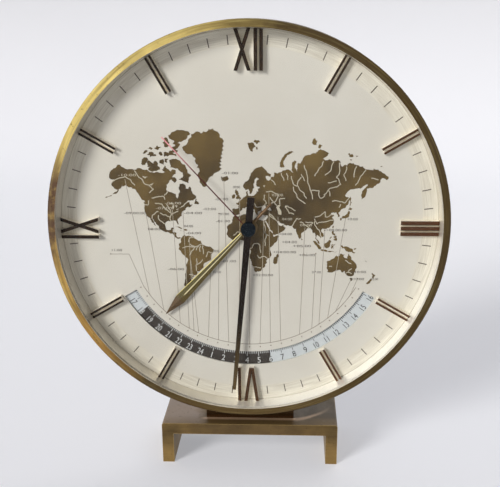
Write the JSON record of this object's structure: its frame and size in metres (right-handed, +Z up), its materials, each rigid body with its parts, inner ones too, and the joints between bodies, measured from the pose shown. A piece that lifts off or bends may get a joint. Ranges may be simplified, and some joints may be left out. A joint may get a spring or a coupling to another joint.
{
  "type": "world time table clock",
  "caption": "Round world time table clock on a low bench stand: raised hour markers, geared hands and a printed 24-hour scale disc that turns behind a curved window.",
  "frame": {"origin": "on the table under the clock, at the middle of the footprint box of the whole object", "axes": "+Z up, -Y out of the dial towards the viewer, +Y to the back, +X to the viewer's right"},
  "size_m": [0.245, 0.0636, 0.2819],
  "materials": {
    "case_brass": "aged brushed brass, browned on the right",
    "stand_brass": "dull olive-brown aged brass",
    "saddle_bronze": "dark bronze-brown patina",
    "screw_steel": "satin steel",
    "gasket_pale": "matt pale grey-beige",
    "crystal_clear": "clear polished",
    "flange_silver": "satin silver",
    "support_grey": "matt dark grey",
    "back_plate_bronze": "dark bronze lacquer, satin",
    "dial_silver": "matt cream-silver with a brushed minute ring",
    "marker_brass": "bright sides, dark brushed faces",
    "minute_hand_bronze": "dark bronze brown",
    "hour_hand_brass": "bright brass with a dark ridge",
    "second_hand_red": "thin dark red-brown",
    "cap_blue": "dark blue-grey gloss",
    "scale_print": "printed white and black, matt",
    "gear_brass": "plain machined brass",
    "arbor_steel": "polished steel",
    "frame_brass": "plain rolled brass",
    "motor_iron": "dull grey sheet",
    "magnet_grey": "dark grey sintered",
    "bobbin_white": "matt off-white",
    "winding_copper": "copper wire colour",
    "board_green": "satin green board",
    "can_chrome": "polished",
    "battery_skin": "plain dark wrap",
    "contact_spring": "bright spring steel",
    "movement_black": "matt black moulding"
  },
  "bodies": {
    "case_and_stand": {"stand_bench": "stand_brass", "saddle_block": "saddle_bronze", "stand_screws": "screw_steel", "case_ring": "case_brass", "crystal_gasket": "gasket_pale", "crystal": "crystal_clear", "dial_flange": "flange_silver", "dial_support_ring": "support_grey", "back_plate": "back_plate_bronze", "back_plate_screws": "screw_steel", "dial": "dial_silver", "hour_bars": "marker_brass", "numeral_twelve": "marker_brass", "numeral_three": "marker_brass", "numeral_six": "marker_brass", "numeral_nine": "marker_brass", "wheel_studs": "arbor_steel", "movement_front_plate": "frame_brass", "movement_back_plate": "frame_brass", "movement_pillars": "frame_brass", "cover_standoffs": "arbor_steel", "movement_bolts": "screw_steel", "movement_nuts": "screw_steel", "stator": "motor_iron", "coil_bobbin": "bobbin_white", "coil_winding": "winding_copper", "circuit_board": "board_green", "timing_crystal": "can_chrome", "battery": "battery_skin", "battery_holder": "movement_black", "battery_contacts": "contact_spring", "movement_cover": "movement_black", "cover_screws": "screw_steel"},
    "minutes": {"minute_hand": "minute_hand_bronze", "cannon_pinion": "gear_brass"},
    "hours": {"hour_hand": "hour_hand_brass", "hour_pipe": "gear_brass", "hour_wheel": "gear_brass"},
    "scale": {"scale_disc": "scale_print", "disc_gear": "gear_brass"},
    "minute_wheel_set": {"minute_wheel": "gear_brass", "minute_pinion": "gear_brass"},
    "change_wheel_set": {"change_wheel": "gear_brass", "change_pinion": "gear_brass"},
    "setting": {"setting_arbor": "arbor_steel", "setting_knob": "movement_black"},
    "seconds": {"second_hand": "second_hand_red", "hand_cap": "cap_blue", "seconds_arbor": "arbor_steel", "seconds_wheel": "gear_brass"},
    "third_wheel_set": {"third_arbor": "arbor_steel", "third_wheel": "gear_brass"},
    "centre_wheel_set": {"centre_pipe": "arbor_steel", "centre_wheel": "gear_brass"},
    "fifth_wheel_set": {"fifth_arbor": "arbor_steel", "fifth_wheel": "gear_brass"},
    "rotor": {"rotor_arbor": "arbor_steel", "rotor_magnet": "magnet_grey"},
    "door": {"battery_door": "movement_black"}
  },
  "joints": [
    {"name": "minute_hand_turn", "type": "hinge", "parent": "case_and_stand", "child": "minutes", "pos_m": [0, 0, 0.15945], "axis": [0, 1, 0], "continuous": true},
    {"name": "hour_hand_turn", "type": "hinge", "parent": "case_and_stand", "child": "hours", "pos_m": [0, 0, 0.15945], "axis": [0, 1, 0], "continuous": true},
    {"name": "scale_disc_turn", "type": "hinge", "parent": "case_and_stand", "child": "scale", "pos_m": [0, 0, 0.15945], "axis": [0, 1, 0], "continuous": true},
    {"name": "minute_wheel_turn", "type": "hinge", "parent": "case_and_stand", "child": "minute_wheel_set", "pos_m": [0, 0, 0.17145], "axis": [0, 1, 0], "continuous": true},
    {"name": "change_wheel_turn", "type": "hinge", "parent": "case_and_stand", "child": "change_wheel_set", "pos_m": [-0.01522, 0, 0.15391], "axis": [0, 1, 0], "continuous": true},
    {"name": "setting_knob_turn", "type": "hinge", "parent": "case_and_stand", "child": "setting", "pos_m": [0, 0, 0.18345], "axis": [0, 1, 0], "continuous": true},
    {"name": "second_hand_turn", "type": "hinge", "parent": "case_and_stand", "child": "seconds", "pos_m": [0, 0, 0.15945], "axis": [0, 1, 0], "continuous": true},
    {"name": "third_wheel_turn", "type": "hinge", "parent": "case_and_stand", "child": "third_wheel_set", "pos_m": [0.01597, 0, 0.15364], "axis": [0, 1, 0], "continuous": true},
    {"name": "centre_wheel_turn", "type": "hinge", "parent": "case_and_stand", "child": "centre_wheel_set", "pos_m": [0, 0, 0.15945], "axis": [0, 1, 0], "continuous": true},
    {"name": "fifth_wheel_turn", "type": "hinge", "parent": "case_and_stand", "child": "fifth_wheel_set", "pos_m": [-0.01579, 0, 0.1652], "axis": [0, 1, 0], "continuous": true},
    {"name": "rotor_turn", "type": "hinge", "parent": "case_and_stand", "child": "rotor", "pos_m": [-0.0234, 0, 0.16243], "axis": [0, 1, 0], "continuous": true},
    {"name": "battery_door_pull", "type": "slide", "parent": "case_and_stand", "child": "door", "axis": [0, 1, 0], "range_m": [0, 0.02]}
  ],
  "couplings": [
    {"joint": "hour_hand_turn", "follows": "minute_hand_turn", "ratio": 0.083333},
    {"joint": "scale_disc_turn", "follows": "minute_hand_turn", "ratio": 0.013889},
    {"joint": "minute_wheel_turn", "follows": "minute_hand_turn", "ratio": -0.33333},
    {"joint": "change_wheel_turn", "follows": "minute_hand_turn", "ratio": -0.027778},
    {"joint": "setting_knob_turn", "follows": "minute_hand_turn", "ratio": 1},
    {"joint": "third_wheel_turn", "follows": "second_hand_turn", "ratio": -0.13333},
    {"joint": "centre_wheel_turn", "follows": "second_hand_turn", "ratio": 0.016667},
    {"joint": "fifth_wheel_turn", "follows": "second_hand_turn", "ratio": -6},
    {"joint": "rotor_turn", "follows": "second_hand_turn", "ratio": 30}
  ]
}
